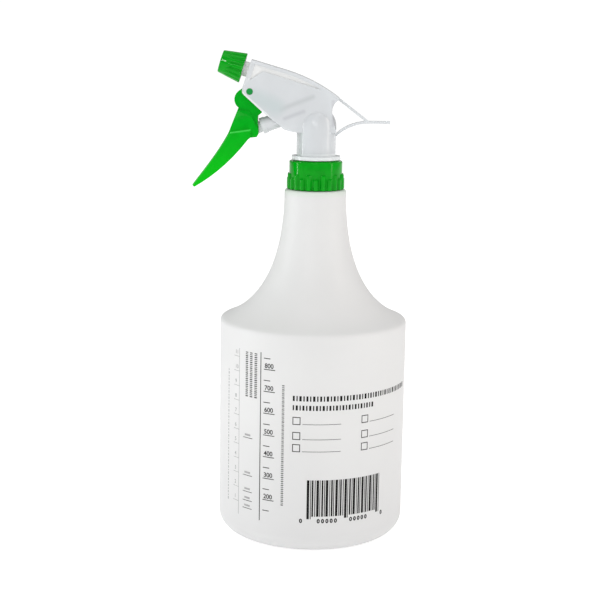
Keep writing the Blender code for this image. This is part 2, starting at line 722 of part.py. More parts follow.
def make_trigger(material, pivot):
    nose = nose_place()
    boss = arc(PIVOT, BOSS_RADIUS, -20, 150, 8)
    lobe = arc(LOBE_CENTRE, LOBE_RADIUS, 115, 235, 8)
    edge = points((-44.9, 14.4), (-45.6, 11.8), (-33.6, 11.7), (-31.2, 11.9), (-30.0, 13.3), (-30.0, 16.3))
    back = points((-30.6, 19.9), (-30.45, 22.5), (-28.4, 24.3), (-29.4, 29.0))
    half = CORE_HALF_WIDTH
    trigger = plate("trigger", boss + lobe + edge + back, -half, half, material=material, parent=pivot)
    trigger.matrix_parent_inverse = Matrix.Translation(-pivot.location)

    buried = half - TRIGGER_WALL / 4
    upper, lower = arm_outline((-40.6, 26.4), (-34.9, 26.0)), arm_outline((-41.2, 24.9), (-34.5, 22.6))
    wide = ARM_HALF_WIDTH
    arm = layered("trigger_arm", [(-wide, lower), (-buried, upper), (buried, upper), (wide, lower)])
    full, rounded = blade_front(0.0) + blade_back(), blade_front(BLADE_ROUND) + blade_back()
    wide = BLADE_HALF_WIDTH
    shoulder = wide - BLADE_ROUND_WIDTH
    blade = layered("trigger_blade", [(-wide, rounded), (-shoulder, full), (shoulder, full), (wide, rounded)])
    fuse(trigger, arm, blade, pin_rod("trigger_pins", PIN_RADIUS, HOUSING_HALF_WIDTH - PIN_INSET))

    floor = nose[1] - NOSE_RADIUS - 1.4 * SEAT_GAP
    ceiling = floor - TRIGGER_WALL
    front = blade_front(TRIGGER_WALL)
    shell = [Vector((front[0][0] + TRIGGER_WALL / 4, ceiling))] + front[1:5]
    shell += points((-57.5, -6.9), (-56.0, -13.0), (-46.0, -6.0), (-38.0, 2.5), (-36.5, 6.5))
    shell += [Vector((GRIP_HOLLOW_BACK, ceiling))]
    open_side = nose[0] + NOSE_RADIUS + TRIGGER_WALL
    arm_inside = [Vector((HOLLOW_TOP_FRONT, HOLLOW_TOP)), Vector((HOLLOW_FRONT, floor))]
    arm_inside += [Vector((open_side, floor)), Vector((open_side, HOLLOW_BACK_TOP))]
    arm_inside += [Vector((HOLLOW_TOP_BACK, HOLLOW_TOP))]
    rib, inner = TRIGGER_RIB_HALF_WIDTH, half - TRIGGER_WALL
    for name, side in (("near", -1), ("far", 1)):
        hollow = side * (BLADE_HALF_WIDTH - TRIGGER_WALL)
        low, high = min(side * rib, hollow), max(side * rib, hollow)
        cut(trigger, plate(f"{name}_blade_hollow", shell, low, high))
        hollow = side * inner
        low, high = min(side * rib, hollow), max(side * rib, hollow)
        cut(trigger, plate(f"{name}_arm_hollow", arm_inside, low, high))
    top = nose[1] + NOSE_RADIUS + TRIGGER_WALL
    pocket = [pad_point(floor), Vector((open_side, floor)), Vector((open_side, top)), pad_point(top)]
    cut(trigger, plate("nose_pocket", pocket, -inner, inner))


# Pump body, piston and springs


def inlet_ball_height():
    return RETAINER_TOP - SEAT_DEPTH + ball_rest(BALL_RADIUS, SEAT_THROAT)


def discharge_ball_place():
    return ball_rest(VALVE_BALL_RADIUS, DELIVERY_BORE) - VALVE_SEAT_START


def nose_pipe_end():
    return CAP_LENGTH - CAP_FRONT_WALL - SEAT_GAP - NOSE_PIPE_GAP


def make_pump_body(material, piston_axis, nozzle):
    flange_top = PUMP_BASE + PUMP_FLANGE_THICKNESS
    boss_top = NUT_TOP + BOSS_HEIGHT
    riser_top = NUT_TOP + RISER_HEIGHT
    boss_inside = BOSS_RADIUS_ON_PUMP - BOSS_WALL
    profile = [(0.0, SPIGOT_BOTTOM), (SPIGOT_RADIUS, SPIGOT_BOTTOM), (SPIGOT_RADIUS, PUMP_BASE)]
    profile += [(PUMP_FLANGE_RADIUS, PUMP_BASE), (PUMP_FLANGE_RADIUS, flange_top)]
    profile += [(BOSS_RADIUS_ON_PUMP, flange_top), (BOSS_RADIUS_ON_PUMP, boss_top), (boss_inside, boss_top)]
    profile += [(boss_inside, flange_top), (RISER_RADIUS, flange_top)]
    profile += [(RISER_RADIUS, riser_top - RISER_TAPER), (RISER_TOP_RADIUS, riser_top), (0.0, riser_top)]
    pump = turned("pump_body", profile, steps=ROUND_STEPS, material=material)

    barrel = rod(CYLINDER_RADIUS, CYLINDER_MOUTH, CYLINDER_END + CYLINDER_END_WALL)
    barrel = turned("pump_cylinder", barrel, parent=piston_axis)
    wall_end = FRONT_INSIDE + SEAT_GAP
    housing_end = wall_end - VALVE_HOUSING_LENGTH
    nose_end = nose_pipe_end()
    profile = [(0.0, -DELIVERY_END), (DELIVERY_RADIUS, -DELIVERY_END), (DELIVERY_RADIUS, housing_end)]
    profile += [(VALVE_HOUSING, housing_end), (VALVE_HOUSING, wall_end), (POST_RADIUS, wall_end)]
    profile += [(POST_RADIUS, POST_STEP), (NOSE_PIPE_RADIUS, POST_STEP)]
    profile += [(NOSE_PIPE_RADIUS, nose_end), (0.0, nose_end)]
    delivery = turned("delivery_tube", profile, parent=nozzle)
    thread = ridge(
        "post_thread",
        POST_RADIUS,
        POST_RADIUS + POST_THREAD_HEIGHT,
        (POST_THREAD_ROOT_WIDTH, POST_THREAD_CREST_WIDTH),
        POST_THREAD_PITCH,
        POST_THREAD_TURNS,
        POST_THREAD_START,
        SMALL_STEPS,
        parent=nozzle,
    )
    fuse(pump, barrel, delivery, thread)

    socket = RETAINER_RADIUS + TUBE_GAP
    chamber = SEAT_THROAT + SEAT_DEPTH
    ledge = RETAINER_TOP + SEAT_GAP
    ceiling = inlet_ball_height() + BALL_RADIUS + BALL_TRAVEL + SEAT_GAP
    crossing = NUT_TOP + NOZZLE_BACK[1] + NOZZLE_BACK[0] * math.tan(NOZZLE_TILT)
    profile = [(0.0, SPIGOT_BOTTOM - socket), (socket, SPIGOT_BOTTOM - socket), (socket, ledge)]
    profile += [(chamber, ledge), (chamber, ceiling), (RISER_BORE, ceiling), (RISER_BORE, crossing), (0.0, crossing)]
    inlet = turned("inlet_bore", profile)
    profile = [(0.0, CYLINDER_MOUTH - CYLINDER_BORE), (CYLINDER_BORE, CYLINDER_MOUTH - CYLINDER_BORE)]
    profile += [(CYLINDER_BORE, CYLINDER_END), (CYLINDER_PORT, CYLINDER_END)]
    reach = (0.0 - nose_place()[0]) / math.cos(PISTON_TILT)
    profile += [(CYLINDER_PORT, reach), (0.0, reach)]
    bore = turned("cylinder_bore", profile, parent=piston_axis)
    mouth = VALVE_BORE - DELIVERY_BORE - VALVE_SEAT_START
    profile = [(0.0, -DELIVERY_BORE_END), (DELIVERY_BORE, -DELIVERY_BORE_END)]
    profile += [(DELIVERY_BORE, -VALVE_SEAT_START), (VALVE_BORE, mouth), (VALVE_BORE, CAP_LENGTH), (0.0, CAP_LENGTH)]
    cut(pump, inlet, bore, turned("delivery_bore", profile, parent=nozzle))


def make_piston(material, seal_material, spring_material, axis):
    gap = 2 * SEAL_GAP
    wiper_end, cup_end = WIPER_START + WIPER_LENGTH, CUP_START + CUP_LENGTH
    collar_end = COLLAR_START + PISTON_COLLAR_LENGTH
    profile = [(0.0, -NOSE_RADIUS)] + [tuple(point) for point in arc((0.0, 0.0), NOSE_RADIUS, -75, 0, 5)]
    profile += [(NOSE_RADIUS, COLLAR_START), (PISTON_COLLAR_RADIUS, COLLAR_START)]
    profile += [(PISTON_COLLAR_RADIUS, collar_end), (ROD_RADIUS, collar_end), (ROD_RADIUS, WIPER_START - gap)]
    for start, end in ((WIPER_START, wiper_end), (CUP_START, cup_end)):
        profile += [(GROOVE_RADIUS, start - gap), (GROOVE_RADIUS, end + gap), (LAND_RADIUS, end + gap)]
        profile += [(LAND_RADIUS, CUP_START - gap if start == WIPER_START else PISTON_LENGTH)]
    profile += [(PISTON_BORE, PISTON_LENGTH), (PISTON_BORE, PISTON_BORE_START), (0.0, PISTON_BORE_START)]
    turned("piston", profile, material=material, parent=axis)

    inner, outer = GROOVE_RADIUS + SEAL_GAP, CYLINDER_BORE - SEAL_GAP / 2
    profile = tube(inner, outer, WIPER_START, wiper_end)
    turned("piston_wiper", profile, ring=True, material=seal_material, parent=axis)
    lip = (outer - inner) / 3
    base = CUP_START + CUP_LENGTH / 3
    profile = [(inner, CUP_START), (outer - lip / 2, CUP_START), (outer, cup_end), (outer - lip, cup_end)]
    profile += [(outer - lip * 1.3, base), (inner + lip, base), (inner + lip, cup_end), (inner, cup_end)]
    turned("piston_cup_seal", profile, ring=True, material=seal_material, parent=axis)
    bottom, top = PISTON_BORE_START + SEAT_GAP, CYLINDER_END - SEAT_GAP
    coil(
        "return_spring",
        RETURN_COIL_RADIUS,
        RETURN_WIRE,
        RETURN_COILS,
        bottom,
        top,
        material=spring_material,
        parent=axis,
    )


def make_inlet(material, ball_material):
    socket = TUBE_RADIUS + TUBE_GAP
    flange = RETAINER_RADIUS + RETAINER_FLANGE_WIDTH
    top_of_flange = SPIGOT_BOTTOM - SEAT_GAP
    bottom = top_of_flange - RETAINER_FLANGE
    seat = RETAINER_TOP - SEAT_DEPTH
    shelf = seat - THROAT_LENGTH
    profile = [(socket, bottom), (flange, bottom), (flange, top_of_flange), (RETAINER_RADIUS, top_of_flange)]
    profile += [(RETAINER_RADIUS, RETAINER_TOP), (SEAT_THROAT + SEAT_DEPTH, RETAINER_TOP)]
    profile += [(SEAT_THROAT, seat), (SEAT_THROAT, shelf), (socket, shelf)]
    turned("tube_retainer", profile, ring=True, material=material)
    ball("inlet_ball", BALL_RADIUS, inlet_ball_height(), material=ball_material)
    floor = PANEL_RISE + BODY_WALL
    profile = tube(TUBE_RADIUS - TUBE_WALL, TUBE_RADIUS, floor + TUBE_FOOT_GAP, shelf - SEAT_GAP)
    turned("dip_tube", profile, ring=True, material=material)


# Nozzle, along its own axis


def cap_radius(along):
    return CAP_BACK_RADIUS + (CAP_FRONT_RADIUS - CAP_BACK_RADIUS) * along / CAP_LENGTH


def cap_flute(index, angle):
    """The grooves round the cap's back rim, which run out two thirds of the way forward."""
    place = round(angle * CAP_FLUTE_COUNT * 4 / (2 * math.pi)) % 4
    return CAP_FLUTE_DEPTH if index in (1, 2) and place > 1 else 0.0


def make_nozzle(cap_material, seal_material, plug_material, spring_material, nozzle):
    nose_hole = NOSE_PIPE_RADIUS + NOSE_PIPE_GAP
    inner_face = CAP_LENGTH - CAP_FRONT_WALL
    run_out = CAP_LENGTH * 0.68
    profile = [
        (CAP_BORE, 0.0),
        (cap_radius(0.0), 0.0),
        (cap_radius(CAP_LENGTH / 4), CAP_LENGTH / 4),
        (cap_radius(run_out), run_out),
        (cap_radius(CAP_LENGTH - CAP_EDGE), CAP_LENGTH - CAP_EDGE),
        (CAP_FRONT_RADIUS - CAP_EDGE, CAP_LENGTH),
        (DIMPLE_RADIUS, CAP_LENGTH),
        (ORIFICE_RADIUS, CAP_LENGTH - DIMPLE_DEPTH),
        (ORIFICE_RADIUS, inner_face),
        (nose_hole, inner_face),
        (nose_hole, CAP_STEP),
        (CAP_BORE, CAP_STEP),
    ]
    cap = turned(
        "nozzle_cap",
        profile,
        steps=4 * CAP_FLUTE_COUNT,
        ring=True,
        flute=cap_flute,
        material=cap_material,
        parent=nozzle,
    )
    thread = ridge(
        "cap_thread",
        CAP_BORE,
        CAP_BORE - POST_THREAD_HEIGHT,
        (POST_THREAD_ROOT_WIDTH, POST_THREAD_CREST_WIDTH),
        POST_THREAD_PITCH,
        POST_THREAD_TURNS,
        POST_THREAD_START,
        SMALL_STEPS,
        parent=nozzle,
    )
    thread.rotation_euler = (0.0, 0.0, math.pi)
    fuse(cap, thread)

    seal_end = CAP_STEP - SEAT_GAP
    inner, outer = NOSE_PIPE_RADIUS + SEAL_GAP, CAP_BORE - SEAL_GAP / 2
    profile = tube(inner, outer, seal_end - NOZZLE_SEAL_LENGTH, seal_end)
    turned("nozzle_seal", profile, ring=True, material=seal_material, parent=nozzle)

    radius = VALVE_BORE - 2 * SEAL_GAP
    profile = rod(radius, SWIRL_START, SWIRL_START + SWIRL_LENGTH)
    plug = turned("swirl_plug", profile, material=plug_material, parent=nozzle)
    for name, side in (("first_slot", 1), ("second_slot", -1)):
        bm = bmesh.new()
        middle = Vector((side * radius, 0.0, SWIRL_START + SWIRL_LENGTH / 2))
        size = Matrix.Diagonal((2 * SWIRL_SLOT_DEPTH, radius / 2, 2 * SWIRL_LENGTH, 1.0))
        bmesh.ops.create_cube(bm, size=1.0, matrix=Matrix.Translation(middle) @ size)
        cut(plug, add_object(name, bm, parent=nozzle))

    centre = discharge_ball_place()
    ball("discharge_ball", VALVE_BALL_RADIUS, centre, material=spring_material, parent=nozzle)
    reach = VALVE_BALL_RADIUS + VALVE_WIRE + SEAL_GAP
    bottom = centre + math.sqrt(reach**2 - VALVE_COIL_RADIUS**2) - VALVE_WIRE
    coil(
        "discharge_spring",
        VALVE_COIL_RADIUS,
        VALVE_WIRE,
        VALVE_COILS,
        bottom,
        SWIRL_START - SEAL_GAP,
        material=spring_material,
        parent=nozzle,
    )


def main():
    clear_scene()
    frosted = make_material("frosted_plastic", (0.80, 0.81, 0.80), 0.45)
    clear = make_material("milky_plastic", (0.78, 0.79, 0.80), 0.30)
    green = make_material("green_plastic", (0.0, 0.42, 0.02), 0.28)
    rubber = make_material("grey_rubber", (0.35, 0.35, 0.34), 0.60)
    steel = make_material("spring_steel", (0.60, 0.60, 0.60), 0.25)

    nozzle = make_frame("nozzle_axis", NOZZLE_BACK, NOZZLE_TILT - math.radians(90))
    piston_axis = make_frame("piston_axis", nose_place(), math.radians(90) - PISTON_TILT)
    make_bottle(frosted)
    make_gasket(rubber)
    make_nut(green)
    make_housing(clear, nozzle)
    make_pump_body(clear, piston_axis, nozzle)
    make_inlet(clear, steel)
    make_trigger(green, make_frame("trigger_pivot", PIVOT, 0.0))
    make_piston(clear, rubber, steel, piston_axis)
    make_nozzle(green, rubber, clear, steel, nozzle)


main()
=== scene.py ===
# hand mister: frosted bottle with a trigger pump head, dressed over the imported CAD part
import json
import math

import bmesh
import bpy
from mathutils import Matrix, Vector


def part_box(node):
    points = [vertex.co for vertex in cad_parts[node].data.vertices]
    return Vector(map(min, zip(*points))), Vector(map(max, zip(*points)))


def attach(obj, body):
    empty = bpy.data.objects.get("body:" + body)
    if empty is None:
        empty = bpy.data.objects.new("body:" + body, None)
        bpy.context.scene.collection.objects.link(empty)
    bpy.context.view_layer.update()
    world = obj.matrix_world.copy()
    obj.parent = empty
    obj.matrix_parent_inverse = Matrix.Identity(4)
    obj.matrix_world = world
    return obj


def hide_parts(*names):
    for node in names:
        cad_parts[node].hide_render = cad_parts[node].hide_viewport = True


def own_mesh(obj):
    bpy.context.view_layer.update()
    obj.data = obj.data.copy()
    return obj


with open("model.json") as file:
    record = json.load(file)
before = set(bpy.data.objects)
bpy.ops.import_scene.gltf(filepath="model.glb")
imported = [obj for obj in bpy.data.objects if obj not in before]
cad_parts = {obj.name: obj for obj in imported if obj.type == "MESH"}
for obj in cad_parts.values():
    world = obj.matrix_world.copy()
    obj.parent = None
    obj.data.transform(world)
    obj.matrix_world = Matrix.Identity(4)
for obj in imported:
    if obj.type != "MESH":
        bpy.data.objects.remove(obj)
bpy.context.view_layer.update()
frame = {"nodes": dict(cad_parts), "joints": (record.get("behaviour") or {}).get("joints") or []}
nodes = frame["nodes"]
joints = {joint["name"]: joint for joint in frame["joints"]}
mm = 0.001


class Wire:  # one socket of a node tree; sums and products of wires become Math nodes
    def __init__(self, tree, socket=None):
        self.tree = tree
        self.socket = socket

    def node(self, kind, inputs=None, out=0, **settings):
        made = self.tree.nodes.new(kind)
        for key, value in settings.items():
            setattr(made, key, value)
        for key, value in (inputs or {}).items():
            if isinstance(value, Wire):
                self.tree.links.new(value.socket, made.inputs[key])
            else:
                made.inputs[key].default_value = value
        return Wire(self.tree, made.outputs[out])

    def math(self, operation, *values):
        return self.node("ShaderNodeMath", dict(enumerate(values)), operation=operation)

    def __add__(self, other):
        return self.math("ADD", self, other)

    def __radd__(self, other):
        return self.math("ADD", other, self)

    def __sub__(self, other):
        return self.math("SUBTRACT", self, other)

    def __rsub__(self, other):
        return self.math("SUBTRACT", other, self)

    def __mul__(self, other):
        return self.math("MULTIPLY", self, other)

    def __rmul__(self, other):
        return self.math("MULTIPLY", other, self)

    def __truediv__(self, other):
        return self.math("DIVIDE", self, other)

    def __rtruediv__(self, other):
        return self.math("DIVIDE", other, self)

    def mix(self, first, second):  # colours, by this wire
        return self.node("ShaderNodeMix", {0: self, 6: first, 7: second}, out=2, data_type="RGBA")

    def ramp(self, low, high):  # 0 below low, 1 above high
        return self.node("ShaderNodeMapRange", {0: self, 1: low, 2: high})


def axisOf(joint):
    return Vector(joints[joint]["axis"]).normalized()


def startOf(joint):  # in mm
    return Vector(joints[joint]["pos_m"]) / mm


def beside(joint, x, z):  # (x, z) in mm, x and z away from a joint
    start = startOf(joint)
    return (start.x + x, start.z + z)


def along(joint, reach, off=0.0):  # (x, z) in mm, reach along a slide and off to the side of it
    axis, start = axisOf(joint), startOf(joint)
    return (start.x + axis.x * reach - axis.z * off, start.z + axis.z * reach + axis.x * off)


def rgb(color, scale=1.0):
    return (color[0] * scale, color[1] * scale, color[2] * scale, 1.0)


def stripeMask(wire, place, stripe):  # 1 near a line in the XZ plane, 0 past its soft edge
    x = wire.node("ShaderNodeSeparateXYZ", {0: place}, out=0)
    z = wire.node("ShaderNodeSeparateXYZ", {0: place}, out=2)
    (startX, startZ), (endX, endZ) = stripe["from"], stripe["to"]
    runX, runZ = endX - startX, endZ - startZ
    share = ((x - startX * mm) * runX + (z - startZ * mm) * runZ) / ((runX**2 + runZ**2) * mm)
    share = share.math("MAXIMUM", share, 0.0)
    share = share.math("MINIMUM", share, 1.0)
    offX = x - share * (runX * mm) - startX * mm
    offZ = z - share * (runZ * mm) - startZ * mm
    away = wire.math("SQRT", offX * offX + offZ * offZ)
    return (1.0 - away.ramp(stripe["half"] * mm, (stripe["half"] + stripe["soft"]) * mm)) * stripe["share"]


def inRecess(wire, place, recess):  # 1 where the side wall stands back
    y = wire.node("ShaderNodeSeparateXYZ", {0: place}, out=1)
    z = wire.node("ShaderNodeSeparateXYZ", {0: place}, out=2)
    across = wire.math("ABSOLUTE", y)
    past = across.math("GREATER_THAN", across, recess["low"] * mm)
    short = across.math("LESS_THAN", across, recess["high"] * mm)
    return past * short * z.math("GREATER_THAN", z, recess["floor"] * mm) * recess["share"]


surface = {"cloudDetail": 3.0, "grainDetail": 2.0, "wearFrom": 0.35, "wearTo": 0.7, "grainHeight": 0.1,
           "sharpAngle": 40}  # the same for every finish


def plastic(name, look):  # mottled colour, worn gloss and a fine grain
    material = bpy.data.materials.new(name)
    material.use_nodes = True
    tree = material.node_tree
    shader = tree.nodes["Principled BSDF"]
    wire = Wire(tree)
    place = wire.node("ShaderNodeTexCoord", out=3)  # object coordinates, in metres
    clouds = {"Vector": place, "Scale": look["cloud"], "Detail": surface["cloudDetail"]}
    grains = {"Vector": place, "Scale": look["grain"], "Detail": surface["grainDetail"]}
    cloud = wire.node("ShaderNodeTexNoise", clouds)
    grain = wire.node("ShaderNodeTexNoise", grains)
    wear = cloud.ramp(surface["wearFrom"], surface["wearTo"])
    color = wear.mix(rgb(look["color"], 1.0 - look["mottle"]), rgb(look["color"], 1.0 + look["mottle"]))
    if "tip" in look:  # a second colour lower down the piece: painted shade at the bottle's foot, painted light on the trigger's blade
        height = wire.node("ShaderNodeSeparateXYZ", {0: place}, out=2)
        color = height.ramp(*look["tipRange"]).mix(rgb(look["tip"]), color)
    for stripe in look.get("paintedStripes", ()):  # painted light and shade, in soft stripes that run right through, along Y
        color = stripeMask(wire, place, stripe).mix(color, rgb(stripe["color"]))
    # painted light where the side wall stands back
    if "recess" in look:
        color = inRecess(wire, place, look["recess"]).mix(color, rgb(look["recess"]["color"]))
    rough = wear * look["wear"] + grain * look["wear"] + (look["rough"] - look["wear"])
    raised = {"Strength": look["bump"], "Distance": surface["grainHeight"] * mm, "Height": grain}
    bump = wire.node("ShaderNodeBump", raised)
    tree.links.new(color.socket, shader.inputs["Base Color"])
    tree.links.new(rough.socket, shader.inputs["Roughness"])
    tree.links.new(bump.socket, shader.inputs["Normal"])
    shader.inputs["Metallic"].default_value = look.get("metal", 0.0)
    shader.inputs["IOR"].default_value = look.get("ior", 1.46)
    shader.inputs["Transmission Weight"].default_value = look.get("clear", 0.0)
    shader.inputs["Specular IOR Level"].default_value = look.get("shine", 0.5)
    return material


def addMesh(name, bm, material, body, slot, *stands):
    bmesh.ops.recalc_face_normals(bm, faces=bm.faces)
    mesh = bpy.data.meshes.new(name)
    bm.to_mesh(mesh)
    bm.free()
    mesh.materials.append(material)
    obj = bpy.data.objects.new(name, mesh)
    bpy.context.scene.collection.objects.link(obj)
    return dress(obj, body, slot, *stands)


def dress(obj, body, slot, *stands):
    obj.data.shade_smooth()
    obj.data.set_sharp_from_angle(angle=math.radians(surface["sharpAngle"]))
    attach(obj, body)
    if stands:
        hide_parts(*stands)
    return obj


def revolve(bm, profile, steps, reach=None):  # a closed profile; reach reshapes a ring
    rings = []
    for radius, height in profile:
        ring = []
        for step in range(steps):
            angle = 2 * math.pi * step / steps
            r = reach(radius, height, angle) if reach else radius
            ring.append(bm.verts.new((r * math.cos(angle), r * math.sin(angle), height)))
        rings.append(ring)
    for lower, upper in zip(rings, rings[1:] + rings[:1]):
        for step in range(steps):
            ahead = (step + 1) % steps
            bm.faces.new((lower[step], lower[ahead], upper[ahead], upper[step]))


def helix(bm, root, crest, rootWidth, crestWidth, pitch, turns, start, steps):  # fades out at both ends
    count = round(turns * steps)
    fade = steps / 8  # an eighth of a turn
    sections = []
    for step in range(count + 1):
        angle = 2 * math.pi * step / steps
        middle = start + pitch * step / steps
        share = max(0.05, min(1.0, step / fade, (count - step) / fade))
        tip = root + (crest - root) * share
        section = ((root, -rootWidth), (tip, -crestWidth), (tip, crestWidth), (root, rootWidth))
        sections.append(
            [bm.verts.new((r * math.cos(angle), r * math.sin(angle), middle + z / 2)) for r, z in section]
        )
    for before, after in zip(sections, sections[1:]):
        for index in range(4):
            ahead = (index + 1) % 4
            bm.faces.new((before[index], before[ahead], after[ahead], after[index]))
    bm.faces.new(sections[0])
    bm.faces.new(sections[-1])


def curve(start, pull, push, end, count):
    points = []
    for step in range(count + 1):
        t = step / count
        shares = ((1 - t) ** 3, 3 * t * (1 - t) ** 2, 3 * t * t * (1 - t), t**3)
        corners = (start, pull, push, end)
        points.append(tuple(sum(c[axis] * s for c, s in zip(corners, shares)) for axis in (0, 1)))
    return points


moulding = {"edge": 0.28, "weld": 0.002, "flatAngle": 0.6, "edgeAngle": 34, "segments": 3}


def moulded(node, name, material, body, slot, edge=moulding["edge"]):  # rounds the sharp edges
    bm = bmesh.new()
    bm.from_mesh(nodes[node].data)
    bmesh.ops.remove_doubles(bm, verts=bm.verts, dist=moulding["weld"] * mm)
    flat = math.radians(moulding["flatAngle"])
    bmesh.ops.dissolve_limit(bm, angle_limit=flat, verts=bm.verts, edges=bm.edges)
    obj = addMesh(name, bm, material, body, slot, node)
    rounding = obj.modifiers.new("Mould edges", "BEVEL")
    rounding.width = edge * mm
    rounding.segments = moulding["segments"]
    rounding.limit_method = "ANGLE"
    rounding.angle_limit = math.radians(moulding["edgeAngle"])
    flats = obj.modifiers.new("Flat faces", "WEIGHTED_NORMAL")
    flats.keep_sharp = True
    return obj


# Frosted bottle
print("bottle")
nutFoot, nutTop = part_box("closure_nut")[0][2] / mm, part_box("closure_nut")[1][2] / mm
paintedNutGreenLight = {"from": (-17.0, nutFoot - 1.2), "to": (17.0, nutFoot - 1.2), "half": 0.6, "soft": 2.2,
            "share": 0.3, "color": (0.58, 0.73, 0.58)}  # painted green light from the nut, in the frosted neck
# the tip is painted shade, darker towards the bottle's foot
frost = {"color": (0.75, 0.75, 0.745), "mottle": 0.015, "cloud": 22.0, "grain": 2600.0, "rough": 0.48,
         "wear": 0.06, "bump": 0.25, "clear": 0.22, "ior": 1.5, "tip": (0.68, 0.68, 0.68),
         "tipRange": (0.0, 0.07), "paintedStripes": (paintedNutGreenLight,)}
bottleShape = {"radius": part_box("bottle")[1][0] / mm - 0.05, "heel": 9.7, "bodyTop": 113.0,
               "lipHeight": 2.7, "lip": 1.4, "slope": 19.8, "pull": 25.8, "neckPull": 29.5, "neck": 16.2,
               "neckEnd": 182.5, "neckRound": 1.3, "wall": 1.2, "finish": 10.73, "bore": 9.0, "panel": 26.0,
               "ring": 30.0, "rise": 1.2, "pinch": 0.4, "lipPull": 1.6, "lipPush": 0.5}
bottleSteps = {"heel": 24, "lip": 6, "shoulder": 48, "round": 6, "around": 192}
bottleThread = {"height": 1.05, "root": 1.7, "crest": 1.0, "pitch": 3.175, "turns": 1.5, "below": 1.9,
                "sunk": 0.3, "steps": 96}


def bottleOutside(shape):
    radius, heel, neck, steps = shape["radius"], shape["heel"], shape["neck"], bottleSteps
    lean = math.radians(shape["slope"])
    edge = (radius - shape["lip"], shape["bodyTop"] + shape["lipHeight"])
    pull = (edge[0] - shape["pull"] * math.cos(lean), edge[1] + shape["pull"] * math.sin(lean))
    outline = [(shape["ring"], 0.0)]
    for step in range(steps["heel"] + 1):
        angle = math.radians(90 * step / steps["heel"])
        outline.append((radius - heel + heel * math.sin(angle), heel - heel * math.cos(angle)))
    lipPull = (radius, shape["bodyTop"] + shape["lipPull"])
    lipPush = (radius - shape["lipPush"], edge[1] - shape["lipPush"])
    outline += curve((radius, shape["bodyTop"]), lipPull, lipPush, edge, steps["lip"])
    push = (neck, shape["neckEnd"] - shape["neckPull"])
    outline += curve(edge, pull, push, (neck, shape["neckEnd"]), steps["shoulder"])[1:]
    turn = shape["neckRound"]
    for step in range(1, steps["round"] + 1):
        angle = math.radians(90 * step / steps["round"])
        outline.append((neck - turn + turn * math.cos(angle), shape["neckEnd"] + turn * math.sin(angle)))
    return outline


def makeBottle():
    shape = bottleShape
    outside = bottleOutside(shape)
    wall = shape["wall"]
    inside = []
    for index in range(1, len(outside) - bottleSteps["round"]):
        (r0, z0), (r1, z1) = outside[index - 1], outside[index + 1]
        length = math.hypot(r1 - r0, z1 - z0)
        radius, height = outside[index]
        inside.append((radius - wall * (z1 - z0) / length, height + wall * (r1 - r0) / length))
    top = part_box("bottle")[1][2] / mm
    shoulder = outside[-1][1]
    profile = [(shape["pinch"], shape["rise"]), (shape["panel"], shape["rise"])] + outside
    profile += [(shape["finish"], shoulder), (shape["finish"], top), (shape["bore"], top)]
    profile += [(shape["bore"], shoulder - wall), (shape["neck"] - 2 * wall, shoulder - 2 * wall)]
    profile += list(reversed(inside))
    profile += [(shape["ring"], wall), (shape["panel"], shape["rise"] + wall)]
    profile += [(shape["pinch"], shape["rise"] + wall)]
    bm = bmesh.new()
    revolve(bm, profile, bottleSteps["around"])
    thread = bottleThread
    start = top - thread["below"] - thread["turns"] * thread["pitch"]
    root, crest = shape["finish"] - thread["sunk"], shape["finish"] + thread["height"]
    helix(bm, root, crest, thread["root"], thread["crest"], thread["pitch"], thread["turns"], start,
          thread["steps"])
    bmesh.ops.scale(bm, vec=(mm, mm, mm), verts=bm.verts)
    addMesh("bottleShell", bm, plastic("frostedPlastic", frost), "bottle", "frosted_plastic", "bottle")


makeBottle()

# Print on the bottle: a volume scale, blank check boxes, ruled lines, plain strokes and bars
print("print")
inkLook = {"color": (0.012, 0.011, 0.011), "mottle": 0.12, "cloud": 300.0, "grain": 4000.0, "rough": 0.5,
           "wear": 0.08, "bump": 0.15, "shine": 0.1}
paleInkLook = dict(inkLook, color=(0.34, 0.34, 0.34))
printing = {"lift": 0.02, "strip": 1.5, "bold": 0.018}  # bold is a share of a figure's size
printRadius = bottleShape["radius"] + printing["lift"]
printed = {}


def wrap(points):  # distance round the bottle from its front, and height, in mm
    wrapped = []
    for across, height in points:
        angle = across / bottleShape["radius"]
        wrapped.append((printRadius * math.sin(angle) * mm, -printRadius * math.cos(angle) * mm, height * mm))
    return wrapped


def bar(ink, left, bottom, right, top):  # narrow strips, so that it lies on the bottle
    bm = printed.setdefault(ink, bmesh.new())
    strips = max(1, math.ceil((right - left) / printing["strip"]))
    for strip in range(strips):
        start = left + (right - left) * strip / strips
        end = left + (right - left) * (strip + 1) / strips
        corners = ((start, bottom), (end, bottom), (end, top), (start, top))
        bm.faces.new([bm.verts.new(point) for point in wrap(corners)])


def write(ink, words, left, bottom, size, bold=printing["bold"]):  # plain figures, laid flat and then wrapped
    font = bpy.data.curves.new("figures", "FONT")
    font.body = words
    font.size = size
    font.offset = bold * size
    obj = bpy.data.objects.new("figures", font)
    bpy.context.scene.collection.objects.link(obj)
    graph = bpy.context.evaluated_depsgraph_get()
    mesh = bpy.data.meshes.new_from_object(obj.evaluated_get(graph))
    bm = printed.setdefault(ink, bmesh.new())
    verts = [bm.verts.new(p) for p in wrap([(left + v.co.x, bottom + v.co.y) for v in mesh.vertices])]
    for polygon in mesh.polygons:
        bm.faces.new([verts[index] for index in polygon.vertices])
    bpy.data.objects.remove(obj)
    bpy.data.meshes.remove(mesh)


scale = {"line": -28.0, "top": 104.9, "foot": 15.6, "step": 11.5, "first": 27.3, "low": 200, "count": 7,
         "jump": 100, "long": (-26.2, -19.7), "short": (-26.2, -22.4), "thin": 0.42, "lineHalf": 0.24,
         "figureSize": 3.4, "figureIn": 0.5, "figureUp": 0.8}


